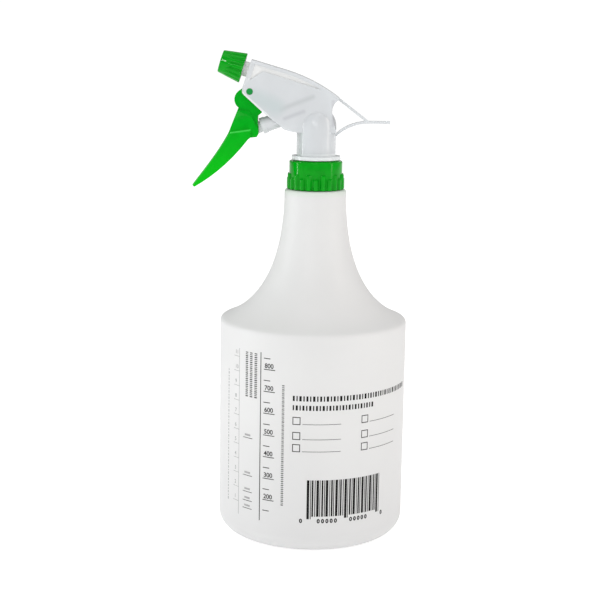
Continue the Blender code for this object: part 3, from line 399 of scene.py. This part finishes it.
def dashes(ink, left, bottom, right, top, lengths, gap):  # strokes of a few lengths in turn
    upright = top - bottom > right - left
    place, end = (bottom, top) if upright else (left, right)
    index = 0
    while place < end:
        stop = min(place + lengths[index % len(lengths)], end)
        if upright:
            bar(ink, left, place, right, stop)
        else:
            bar(ink, place, bottom, stop, top)
        place = stop + gap
        index += 1


def mark(ends, height):  # a stroke of the scale
    bar("dark", ends[0], height - scale["thin"] / 2, ends[1], height + scale["thin"] / 2)


def printScale():
    line, half = scale["line"], scale["lineHalf"]
    bar("dark", line - half, scale["foot"], line + half, scale["top"])
    for index in range(scale["count"]):
        height = scale["first"] + index * scale["step"]
        mark(scale["long"], height)
        mark(scale["short"], height + scale["step"] / 2)
        figure = str(scale["low"] + scale["jump"] * index)
        left, foot = scale["long"][0] + scale["figureIn"], height + scale["figureUp"]
        write("dark", figure, left, foot, scale["figureSize"])
    mark(scale["short"], scale["first"] - scale["step"] / 2)


dilution = {"line": -43.0, "top": 104.6, "foot": 15.6, "marks": (58.2, 38.0, 29.2, 24.4, 20.2),
            "left": -39.6, "right": -33.0, "ladder": 22.6, "ladderStep": 7.75, "ladderCount": 11,
            "lineHalf": 0.15, "markThick": 0.34, "noteIn": (1.2, 1.4), "noteUp": (1.2, 2.2),
            "rungLong": 4.6, "rungThick": 0.24, "figureIn": 3.6, "figureUp": 1.4, "figureSize": 2.8}


def printDilutions():
    line, half = dilution["line"], dilution["lineHalf"]
    bar("pale", line - half, dilution["foot"], line + half, dilution["top"])
    left, right = dilution["left"], dilution["right"]
    (inLeft, inRight), (foot, top) = dilution["noteIn"], dilution["noteUp"]
    for height in dilution["marks"]:
        bar("dark", left, height, right, height + dilution["markThick"])
        bar("pale", left + inLeft, height + foot, right - inRight, height + top)
    for index in range(dilution["ladderCount"]):
        height = dilution["ladder"] + index * dilution["ladderStep"]
        bar("pale", line - dilution["rungLong"], height, line, height + dilution["rungThick"])
        figureFoot = height + dilution["figureUp"]
        write("pale", str(index + 1), line - dilution["figureIn"], figureFoot, dilution["figureSize"])


boxes = {"size": 4.1, "thin": 0.42, "left": -10.1, "right": 26.5, "leftRows": (69.0, 61.1, 54.7),
         "rightRows": (68.7, 60.8, 54.2), "ruleAcross": (1.0, 21.0), "ruleUp": (0.2, 0.45)}


def printBoxes():
    (ruleStart, ruleEnd), (ruleFoot, ruleTop) = boxes["ruleAcross"], boxes["ruleUp"]
    for left, rows in ((boxes["left"], boxes["leftRows"]), (boxes["right"], boxes["rightRows"])):
        for height in rows:
            right, top, thin = left + boxes["size"], height + boxes["size"], boxes["thin"]
            bar("dark", left, height, right, height + thin)
            bar("dark", left, top - thin, right, top)
            bar("dark", left, height, left + thin, top)
            bar("dark", right - thin, height, right, top)
            bar("dark", right + ruleStart, height + ruleFoot, right + ruleEnd, height + ruleTop)


strokes = (  # plain strokes in rows: left, bottom, right and top of each
    {"ink": "dark", "box": (-38.1, 80.3, -36.4, 103.9), "lengths": (0.6, 0.4, 0.5), "gap": 0.5},
    {"ink": "dark", "box": (-35.1, 80.3, -33.4, 103.9), "lengths": (0.6, 0.4, 0.5), "gap": 0.5},
    {"ink": "dark", "box": (-32.0, 80.3, -30.3, 103.9), "lengths": (0.6, 0.4, 0.5), "gap": 0.5},
    {"ink": "dark", "box": (-15.8, 25.6, -14.5, 89.6), "lengths": (0.5, 0.35, 0.55, 0.4), "gap": 0.6},
    {"ink": "pale", "box": (-53.6, 21.0, -52.8, 92.0), "lengths": (1.4, 0.8), "gap": 0.6},
    {"ink": "dark", "box": (-10.1, 81.4, 64.0, 84.1), "lengths": (1.0, 0.65, 1.2, 0.7), "gap": 0.85},
    {"ink": "dark", "box": (-10.1, 76.6, 34.5, 79.2), "lengths": (0.7, 1.1, 0.65, 1.0), "gap": 0.85},
)


def printStrokes():
    for row in strokes:
        dashes(row["ink"], *row["box"], row["lengths"], row["gap"])


bars = {"left": -2.2, "foot": 20.6, "top": 40.0, "widths": (1.3, 0.4, 0.85, 0.45), "gaps": (0.5, 0.35, 0.6),
        "count": 34, "guards": (0, 1, 16, 17, 32, 33), "guardDrop": 1.4, "figures": (-5.9, 3.2, 20.6, 40.7),
        "words": ("0", "0 0 0 0 0", "0 0 0 0 0", "0"), "figureFoot": 17.2, "figureSize": 2.9, "bold": 0.055}


def printBars():
    left = bars["left"]
    for index in range(bars["count"]):
        width = bars["widths"][index % len(bars["widths"])]
        foot = bars["foot"] - (bars["guardDrop"] if index in bars["guards"] else 0.0)
        bar("dark", left, foot, left + width, bars["top"])
        left += width + bars["gaps"][index % len(bars["gaps"])]
    for words, left in zip(bars["words"], bars["figures"]):
        write("dark", words, left, bars["figureFoot"], bars["figureSize"], bold=bars["bold"])


printScale()
printDilutions()
printBoxes()
printStrokes()
printBars()
for ink, look in (("dark", inkLook), ("pale", paleInkLook)):
    addMesh(f"{ink}Print", printed[ink], plastic(f"{ink}Ink", look), "bottle", "frosted_plastic")

# Closure nut with its tall and short ribs
print("nut")
nutGreen = {"color": (0.0, 0.27, 0.006), "mottle": 0.10, "cloud": 260.0, "grain": 3200.0, "rough": 0.10,
            "wear": 0.03, "bump": 0.06, "ior": 1.49, "shine": 0.14}
nutShape = {"radius": 13.95, "rib": 1.15, "count": 24, "tall": 7.7, "short": 5.6, "run": 0.5, "edge": 0.7,
            "sharp": 0.36, "bore": 12.3, "hole": 9.4, "wall": 1.6, "groove": 0.5, "lip": 12.2,
            "chamfer": 0.3, "ringGap": 0.24, "rings": 40, "ribFrom": 1.0, "slices": 12}


def nutReach(radius, height, angle):  # rounded ribs, alternately higher and lower
    shape = nutShape
    if radius < shape["radius"] - shape["ribFrom"]:
        return radius
    place = angle * shape["count"] / (2 * math.pi)
    nearest = round(place)
    top = shape["tall"] if nearest % 2 else shape["short"]
    off = abs(place - nearest) / shape["sharp"]
    across = max(0.0, 1.0 - off**4)
    up = max(0.0, min(1.0, (top + shape["run"] - (height - nutFoot)) / shape["run"]))
    return radius + shape["rib"] * across * up


def makeNut():
    shape = nutShape
    radius, chamfer, turn = shape["radius"], shape["chamfer"], shape["edge"]
    roundFoot = nutTop - shape["groove"] - turn
    profile = [(shape["bore"], nutFoot), (radius - chamfer, nutFoot), (radius, nutFoot + chamfer)]
    for step in range(1, shape["rings"]):
        height = nutFoot + chamfer + step * shape["ringGap"]
        if height < roundFoot - chamfer:
            profile.append((radius, height))
    for step in range(7):
        angle = math.radians(15 * step)
        profile.append((radius - turn + turn * math.cos(angle), roundFoot + turn * math.sin(angle)))
    profile += [(shape["lip"], nutTop - shape["groove"]), (shape["lip"], nutTop)]
    ceiling = nutTop - shape["wall"]
    profile += [(shape["hole"], nutTop), (shape["hole"], ceiling), (shape["bore"], ceiling)]
    bm = bmesh.new()
    revolve(bm, profile, shape["count"] * shape["slices"], nutReach)
    bmesh.ops.scale(bm, vec=(mm, mm, mm), verts=bm.verts)
    addMesh("ribbedNut", bm, plastic("nutGreen", nutGreen), "nut", "green_plastic", "closure_nut")


makeNut()

# Nozzle cap, fluted round its back half
print("nozzle")
nozzleAxis = axisOf("nozzle_turn")
nozzleTilt = math.atan2(nozzleAxis.z, -nozzleAxis.x)
nozzleLean = Matrix.Rotation(nozzleTilt - math.radians(90), 4, "Y")
nozzleTurn = Matrix.Translation(startOf("nozzle_turn")) @ nozzleLean
capShape = {"length": 12.3, "back": 7.85, "front": 5.8, "flutes": 16, "depth": 0.65, "from": 1.1, "to": 9.0,
            "edge": 0.6, "bore": 5.05, "hole": 0.5, "dimple": 2.2, "ceiling": 10.7, "runOut": 2.5,
            "footShare": 0.3, "skirt": 0.4, "chamfer": 0.3, "ringGap": 0.3, "rings": 40, "edgeShare": 0.85,
            "dimpleLip": (0.2, 0.1), "dimpleFloor": (0.4, 0.8), "slices": 240}


def capReach(radius, height, angle):
    shape = capShape
    if radius < shape["bore"] + shape["skirt"] or height > shape["to"]:
        return radius
    fromFoot = shape["footShare"] + max(0.0, height) / shape["from"]
    share = min(1.0, (shape["to"] - height) / shape["runOut"], fromFoot)
    wave = 0.5 - 0.5 * math.cos(angle * shape["flutes"])
    return radius - shape["depth"] * share * wave**3


def makeCap():
    shape = capShape
    length, edge, chamfer = shape["length"], shape["edge"], shape["chamfer"]
    (lipOut, lipDown), (floorOut, floorDown) = shape["dimpleLip"], shape["dimpleFloor"]
    fall = (shape["front"] - shape["back"]) / length
    profile = [(shape["bore"], 0.0), (shape["back"] - chamfer, 0.0)]
    for step in range(shape["rings"]):
        height = chamfer + step * shape["ringGap"]
        if height < length - edge - 0.1:
            profile.append((shape["back"] + fall * height, height))
    for step in range(7):
        angle = math.radians(15 * step)
        reach = shape["front"] - edge * shape["edgeShare"]
        profile.append((reach + edge * math.cos(angle), length - edge + edge * math.sin(angle)))
    profile += [(shape["dimple"] + lipOut, length), (shape["dimple"], length - lipDown)]
    profile += [(shape["hole"] + floorOut, length - floorDown), (shape["hole"], length - floorDown)]
    profile += [(shape["hole"], shape["ceiling"]), (shape["bore"], shape["ceiling"])]
    bm = bmesh.new()
    revolve(bm, profile, shape["slices"], capReach)
    bmesh.ops.transform(bm, matrix=Matrix.Diagonal((mm, mm, mm, 1.0)) @ nozzleTurn, verts=bm.verts)
    material = plastic("capGreen", nutGreen)
    addMesh("flutedCap", bm, material, "nozzle_cap", "green_plastic", "nozzle_cap")


makeCap()

# Head housing, pump body and trigger, with the soft edges of mouldings
print("head")
milk = {"color": (0.70, 0.725, 0.745), "mottle": 0.02, "cloud": 90.0, "grain": 2600.0, "rough": 0.17,
        "wear": 0.04, "bump": 0.08, "clear": 0.30, "ior": 1.49, "shine": 0.5}
paleMilk = dict(milk, color=(0.76, 0.78, 0.80))
# the tip is painted light, the trigger's lower blade brighter green
leafGreen = dict(nutGreen, color=(0.0, 0.31, 0.010), tip=(0.0, 0.43, 0.002), tipRange=(0.185, 0.222),
                 shine=0.08)
housingLow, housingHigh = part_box("head_housing")
collarMiddle = housingLow[2] / mm + 1.3
# painted light and shade, in stripes on the housing's sides
housingLightAndShade = (
    {"from": along("piston_stroke", 33.7, 4.9), "to": along("piston_stroke", 16.0, 5.0), "half": 0.1,
     "soft": 1.9, "share": 0.75, "color": (0.56, 0.58, 0.60)},  # painted shade of the pump cylinder's upper wall, seen through the housing
    {"from": along("piston_stroke", 26.6, -0.3), "to": along("piston_stroke", 16.1, -0.2), "half": 0.1,
     "soft": 1.5, "share": 0.75, "color": (0.56, 0.57, 0.61)},  # painted shade of the rod and spring on its axis, seen through the housing
    {"from": beside("trigger_pull", 3.8, -3.2), "to": beside("trigger_pull", 13.3, -7.7), "half": 1.5,
     "soft": 5.0, "share": 0.8, "color": (0.60, 0.67, 0.68)},  # painted cool shade behind the trigger's pivot
    {"from": beside("trigger_pull", -4.2, -0.8), "to": beside("trigger_pull", 9.1, -12.3), "half": 0.7,
     "soft": 0.5, "share": 0.9, "color": (0.88, 0.90, 0.91)},  # painted light along the rim of the plate
    {"from": (8.3, collarMiddle + 29.2), "to": (8.6, collarMiddle + 16.7), "half": 0.3, "soft": 0.9,
     "share": 0.8, "color": (0.60, 0.61, 0.64)},  # painted shade of a tube inside the column, seen through the housing
    {"from": (-14.0, collarMiddle), "to": (14.0, collarMiddle), "half": 1.8, "soft": 0.4, "share": 0.9,
     "color": (0.84, 0.87, 0.88)},  # painted light on the collar
)
# painted light, the recessed side wall paler than the plate
recess = {"low": 6.3, "high": 6.8, "floor": housingHigh[2] / mm - 21.4, "share": 0.85,
          "color": (0.95, 0.95, 0.94)}
housingLook = dict(milk, paintedStripes=housingLightAndShade, recess=recess)
housingPlastic = plastic("milkyPlastic", housingLook)
moulded("head_housing", "mouldedHousing", housingPlastic, "head", "milky_plastic", edge=0.42)
# painted light on the nozzle post
paintedPostLight = {"from": along("nozzle_turn", 8.0), "to": along("nozzle_turn", -0.4), "half": 5.0, "soft": 0.6,
        "share": 1.0, "color": (0.97, 0.97, 0.97)}
pumpPlastic = plastic("milkyPump", dict(milk, paintedStripes=(paintedPostLight,)))
moulded("pump_body", "mouldedPump", pumpPlastic, "head", "milky_plastic")
# painted highlight along the step of the trigger's blade
triggerPaintedHighlight = {"from": beside("trigger_pull", -9.8, -21.2), "to": beside("trigger_pull", 0.4, -19.7),
                "half": 0.1, "soft": 0.35, "share": 0.8, "color": (0.10, 0.80, 0.14)}
# painted shade on the trigger's pivot pin
pinShade = {"from": beside("trigger_pull", 0.0, 0.0), "to": beside("trigger_pull", 0.1, 0.0), "half": 1.5,
            "soft": 0.4, "share": 0.75, "color": (0.02, 0.20, 0.06)}
triggerPlastic = plastic("leafGreen", dict(leafGreen, paintedStripes=(triggerPaintedHighlight, pinShade)))
moulded("trigger", "mouldedTrigger", triggerPlastic, "trigger", "green_plastic", edge=0.4)

# Pieces that stay as the CAD has them
print("inner pieces")
rubber = {"color": (0.20, 0.20, 0.195), "mottle": 0.10, "cloud": 500.0, "grain": 5000.0, "rough": 0.62,
          "wear": 0.1, "bump": 0.35}
paleRubber = dict(rubber, color=(0.60, 0.60, 0.595))
steel = {"color": (0.62, 0.62, 0.63), "mottle": 0.06, "cloud": 900.0, "grain": 9000.0, "rough": 0.22,
         "wear": 0.08, "bump": 0.10, "metal": 1.0}
carried = {
    "piston": paleMilk, "tube_retainer": milk, "dip_tube": milk, "swirl_plug": milk,
    "neck_gasket": rubber, "piston_wiper": rubber, "piston_cup_seal": rubber, "nozzle_seal": paleRubber,
    "inlet_ball": steel, "discharge_ball": steel,
}
for node, look in carried.items():
    nodes[node].data.materials.clear()
    nodes[node].data.materials.append(plastic(f"{node}Look", look))
    nodes[node].data.shade_smooth()

# Springs, coiled along the slide of what they push
print("springs")
springs = (
    {"name": "returnCoil", "node": "return_spring", "joint": "piston_stroke", "radius": 2.22, "wire": 0.32,
     "coils": 7, "clear": 0.1},
    {"name": "dischargeCoil", "node": "discharge_spring", "joint": "discharge_ball_lift", "radius": 1.45,
     "wire": 0.16, "coils": 5, "clear": 0.05},
)
coil = {"steps": 24, "sides": 8, "closed": 2.1}  # closed is a closed end coil's height in wire radii


def makeSpring(spring):
    axis, origin = axisOf(spring["joint"]), startOf(spring["joint"])
    reach = [axis.dot(vert.co / mm - origin) for vert in nodes[spring["node"]].data.vertices]
    start, end = min(reach) + spring["clear"], max(reach) - spring["clear"]
    side = Vector((0.0, 1.0, 0.0))
    up = axis.cross(side)
    wireSize, steps, sides = spring["wire"], coil["steps"], coil["sides"]
    closed = coil["closed"] * wireSize
    count = spring["coils"] * steps
    low, high = start + wireSize, end - wireSize
    bm = bmesh.new()
    loops = []
    for step in range(count + 1):
        angle = 2 * math.pi * step / steps
        share = min(max((step - steps) / (count - 2 * steps), 0.0), 1.0)  # the end coils lie closed
        ends = min(step / steps, 1.0) + max((step - count) / steps + 1.0, 0.0)
        height = low + closed * ends + (high - low - 2 * closed) * share
        outward = side * math.cos(angle) + up * math.sin(angle)
        centre = origin + axis * height + outward * spring["radius"]
        loop = []
        for turn in range(sides):
            around = 2 * math.pi * turn / sides
            offset = outward * math.cos(around) + axis * math.sin(around)
            loop.append(bm.verts.new(centre + offset * wireSize))
        loops.append(loop)
    for before, after in zip(loops, loops[1:]):
        for index in range(sides):
            ahead = (index + 1) % sides
            bm.faces.new((before[index], before[ahead], after[ahead], after[index]))
    bm.faces.new(loops[0])
    bm.faces.new(loops[-1])
    bmesh.ops.scale(bm, vec=(mm, mm, mm), verts=bm.verts)
    material = plastic(f"{spring['name']}Steel", steel)
    obj = addMesh(spring["name"], bm, material, "head", "spring_steel", spring["node"])
    anchor = (origin + axis * end) * mm
    keep = 1.0 - joints[spring["joint"]]["range_m"][1] / mm / (end - start)
    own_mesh(obj)


for spring in springs:
    makeSpring(spring)

# Floor, light and camera
print("stage")
studio = {"size": 6.0, "white": 1.04, "ambient": 0.84, "mirrored": 0.45, "floorColor": (0.8, 0.8, 0.8),
          "floorRough": 0.9, "floorGlow": 0.5, "floorDrop": 0.1}


def makeStage():
    bm = bmesh.new()
    bmesh.ops.create_grid(bm, x_segments=1, y_segments=1, size=studio["size"] / 2)
    mesh = bpy.data.meshes.new("floor")
    bm.to_mesh(mesh)
    bm.free()
    floor = bpy.data.objects.new("floor", mesh)
    bpy.context.scene.collection.objects.link(floor)
    material = bpy.data.materials.new("floorWhite")
    material.use_nodes = True
    shader = material.node_tree.nodes["Principled BSDF"]
    shader.inputs["Base Color"].default_value = rgb(studio["floorColor"])
    shader.inputs["Roughness"].default_value = studio["floorRough"]
    shader.inputs["Emission Color"].default_value = (1.0, 1.0, 1.0, 1.0)
    shader.inputs["Emission Strength"].default_value = studio["floorGlow"]
    mesh.materials.append(material)
    floor.location.z = -studio["floorDrop"] * mm
    world = bpy.data.worlds.new("studio")
    world.use_nodes = True
    wire = Wire(world.node_tree)
    straight = wire.node("ShaderNodeLightPath", out="Is Camera Ray")
    seen = straight + wire.node("ShaderNodeLightPath", out="Is Transmission Ray")
    glossy = wire.node("ShaderNodeLightPath", out="Is Glossy Ray")
    ambient, mirrored = studio["ambient"], studio["mirrored"]
    strength = seen * (studio["white"] - ambient) + ambient - glossy * (ambient - mirrored)
    background = world.node_tree.nodes["Background"]
    background.inputs["Color"].default_value = (1.0, 1.0, 1.0, 1.0)
    world.node_tree.links.new(strength.socket, background.inputs["Strength"])
    bpy.context.scene.world = world


lamps = (
    {"name": "keyLamp", "from": (-0.57, -0.04, 0.26), "size": (0.035, 0.48), "power": 0.85,
     "tint": (0.96, 0.98, 1.0)},
    {"name": "sideLamp", "from": (0.60, -0.20, 0.40), "size": (0.10, 0.6), "power": 0.85,
     "tint": (1.0, 0.90, 0.84)},
    {"name": "topLamp", "from": (0.05, -0.15, 0.95), "size": (0.5, 0.5), "power": 0.9},
    {"name": "frontLamp", "from": (-0.02, -0.95, 0.42), "size": (0.25, 0.35), "power": 0.8},
    {"name": "capLamp", "from": (-0.31, -0.84, 0.59), "size": (0.03, 0.16), "power": 0.9},
)
aim = Vector((0.0, 0.0, 0.16))


def makeLamps():
    for lamp in lamps:
        light = bpy.data.lights.new(lamp["name"], "AREA")
        light.shape = "RECTANGLE"
        light.size, light.size_y = lamp["size"]
        light.energy = lamp["power"]
        light.color = lamp.get("tint", (1.0, 1.0, 1.0))
        obj = bpy.data.objects.new(lamp["name"], light)
        bpy.context.scene.collection.objects.link(obj)
        obj.location = lamp["from"]
        obj.rotation_euler = (aim - obj.location).to_track_quat("-Z", "Y").to_euler()


cameraLook = {"place": (-0.00719, -0.770, 0.2697), "down": 10.697, "roll": 0.902, "lens": 88.26,
              "sensor": 36.0}


def makeCamera():
    camera = bpy.data.cameras.new("camera")
    camera.lens = cameraLook["lens"]
    camera.sensor_width = cameraLook["sensor"]
    obj = bpy.data.objects.new("camera", camera)
    bpy.context.scene.collection.objects.link(obj)
    tilt = Matrix.Rotation(math.radians(90 - cameraLook["down"]), 4, "X")
    roll = Matrix.Rotation(math.radians(cameraLook["roll"]), 4, "Z")
    obj.matrix_world = Matrix.Translation(cameraLook["place"]) @ tilt @ roll
    bpy.context.scene.camera = obj


makeStage()
makeLamps()
makeCamera()
bpy.context.scene.view_settings.view_transform = "Standard"
